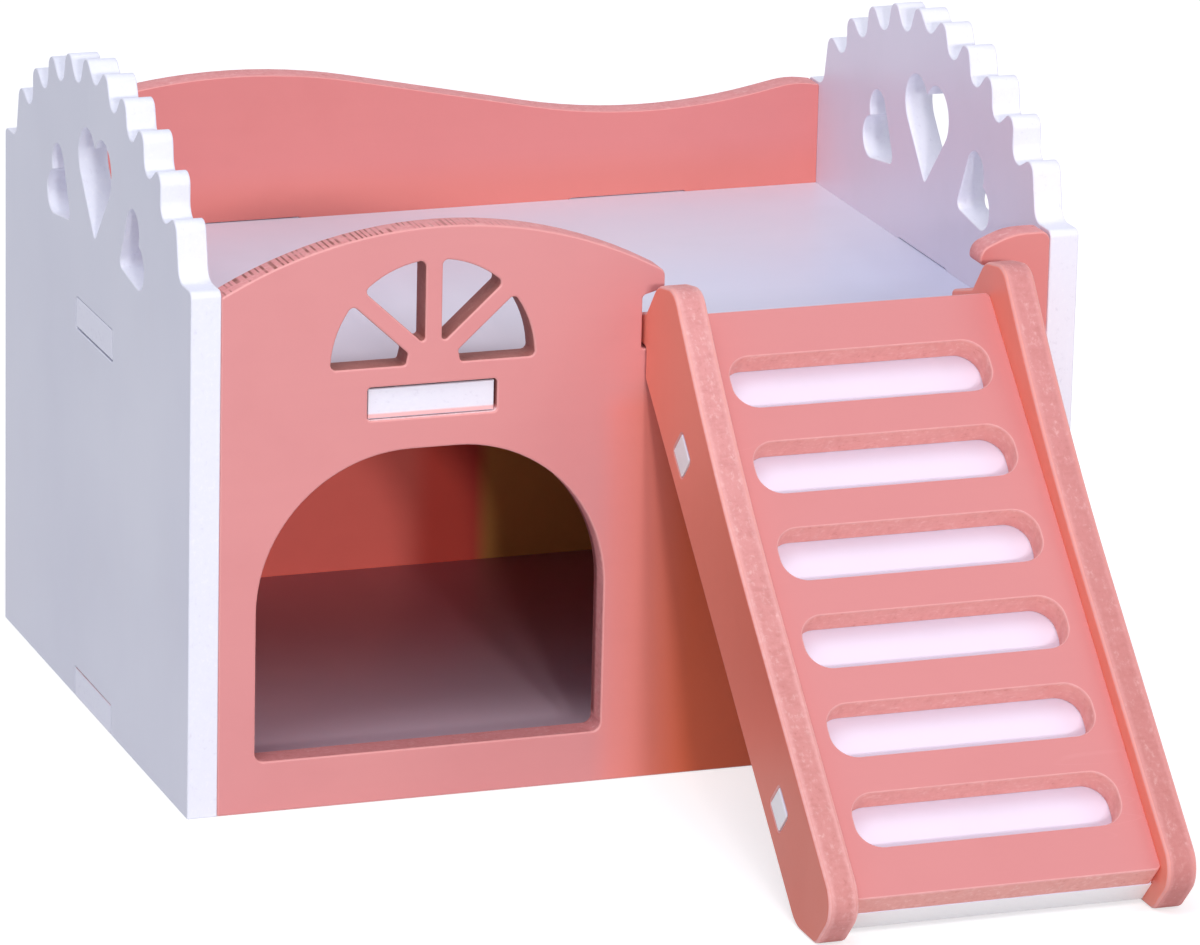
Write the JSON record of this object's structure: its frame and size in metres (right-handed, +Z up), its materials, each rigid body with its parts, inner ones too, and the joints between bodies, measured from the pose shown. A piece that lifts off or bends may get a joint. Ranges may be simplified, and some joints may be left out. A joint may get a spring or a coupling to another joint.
{
  "type": "hamster house",
  "caption": "Wooden small-pet house with an arched door, fan window, scalloped side walls with heart cut-outs, a roof terrace and a slotted ladder hooked over the front wall.",
  "frame": {"origin": "middle of the house's footprint, on the surface that it stands on", "axes": "+Z up, +Y from the door to the back of the house, +X to the right seen from the front"},
  "size_m": [0.15, 0.1952, 0.11],
  "materials": {
    "pink_paint": "smooth matte pink paint on the faces, paler fuzzy cut edges",
    "white_board": "smooth matte white paint"
  },
  "bodies": {
    "house": {"left_side_panel": "white_board", "right_side_panel": "white_board", "front_panel": "pink_paint", "back_panel": "pink_paint", "terrace_deck": "white_board", "floor_board": "white_board"},
    "ladder": {"ladder_left_rail": "pink_paint", "ladder_right_rail": "pink_paint", "ladder_tread_board": "pink_paint", "ladder_backing_board": "white_board"}
  },
  "joints": [
    {"name": "ladder_swing", "type": "hinge", "parent": "house", "child": "ladder", "pos_m": [0.031, -0.0493, 0.0722], "axis": [-1, 0, 0], "range_deg": [0, 8.5]}
  ]
}
